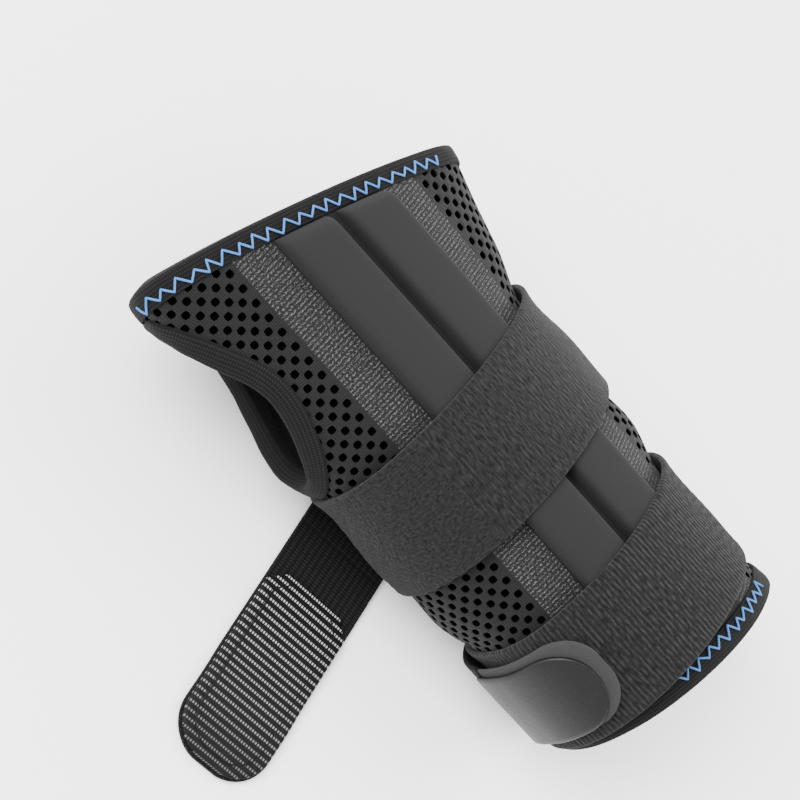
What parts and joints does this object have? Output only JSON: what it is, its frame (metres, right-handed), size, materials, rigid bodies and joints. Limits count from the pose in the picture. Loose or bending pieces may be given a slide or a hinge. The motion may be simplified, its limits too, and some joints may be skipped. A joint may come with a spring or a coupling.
{
  "type": "wrist splint",
  "caption": "Fabric wrist splint for a right hand: mesh tube with a thumb hole, stays that slide out of their pockets, a loose wrist strap and a forearm strap tab that peels.",
  "frame": {"origin": "on the resting surface under the wrist, on the flat palmar face of the wrist strap", "axes": "+X to the little-finger side, +Y to the fingers, +Z out of the back of the hand"},
  "size_m": [0.1671, 0.1934, 0.066],
  "materials": {
    "spacer_mesh": "black 3-D spacer mesh with rows of holes",
    "brushed_lining": "soft brushed polyester",
    "binding_tape": "fine-knit folded tape",
    "pocket_cloth": "smooth stretch cloth over foam",
    "loop_cloth": "brushed loop pile",
    "webbing": "elastic webbing with fine cross ribs",
    "hook_tape": "moulded hooks in rows",
    "tab_leatherette": "smooth coated strap end",
    "blue_thread": "twisted polyester thread",
    "black_thread": "twisted polyester thread",
    "stay_aluminium": "satin rolled strip"
  },
  "bodies": {
    "brace": {"mesh_body": "spacer_mesh", "inner_lining": "brushed_lining", "distal_binding": "binding_tape", "proximal_binding": "binding_tape", "thumb_hole_binding": "binding_tape", "opening_binding_radial": "binding_tape", "opening_binding_ulnar": "binding_tape", "stay_pocket_radial": "pocket_cloth", "stay_pocket_ulnar": "pocket_cloth", "stay_pocket_palmar": "pocket_cloth", "wrist_loop_band": "loop_cloth", "forearm_loop_band": "loop_cloth", "wrist_strap_anchor": "webbing", "forearm_strap": "webbing", "distal_zigzag": "blue_thread", "proximal_zigzag": "blue_thread", "strap_bartacks": "black_thread"},
    "radial_stay": {"stay_radial": "stay_aluminium"},
    "ulnar_stay": {"stay_ulnar": "stay_aluminium"},
    "palmar_stay": {"stay_palmar": "stay_aluminium"},
    "strap_root": {"wrist_strap_root": "webbing"},
    "strap_middle": {"wrist_strap_middle": "webbing", "wrist_hook_pad_middle": "hook_tape"},
    "strap_end": {"wrist_strap_end": "webbing", "wrist_hook_pad_end": "hook_tape"},
    "forearm_tab": {"forearm_hook_pad": "hook_tape", "forearm_tab": "tab_leatherette"}
  },
  "joints": [
    {"name": "radial_stay_slide", "type": "slide", "parent": "brace", "child": "radial_stay", "axis": [0, -1, 0], "range_m": [0, 0.15]},
    {"name": "ulnar_stay_slide", "type": "slide", "parent": "brace", "child": "ulnar_stay", "axis": [0, -1, 0], "range_m": [0, 0.15]},
    {"name": "palmar_stay_slide", "type": "slide", "parent": "brace", "child": "palmar_stay", "axis": [0, -1, 0], "range_m": [0, 0.1]},
    {"name": "wrist_strap_lift", "type": "hinge", "parent": "brace", "child": "strap_root", "pos_m": [-0.022, -0.0026, 0.0015], "axis": [-0.1028, 0.9947, 0], "range_deg": [0, 32]},
    {"name": "wrist_strap_bend", "type": "hinge", "parent": "strap_root", "child": "strap_middle", "pos_m": [-0.05184, -0.00568, 0.0015], "axis": [-0.1028, 0.9947, 0], "range_deg": [0, 50]},
    {"name": "wrist_strap_curl", "type": "hinge", "parent": "strap_middle", "child": "strap_end", "pos_m": [-0.07969, -0.00856, 0.0027], "axis": [-0.1028, 0.9947, 0], "range_deg": [0, 60]},
    {"name": "forearm_tab_peel", "type": "hinge", "parent": "brace", "child": "forearm_tab", "pos_m": [-0.0445, -0.0645, 0.0242], "axis": [0, -1, 0], "range_deg": [0, 100]}
  ]
}
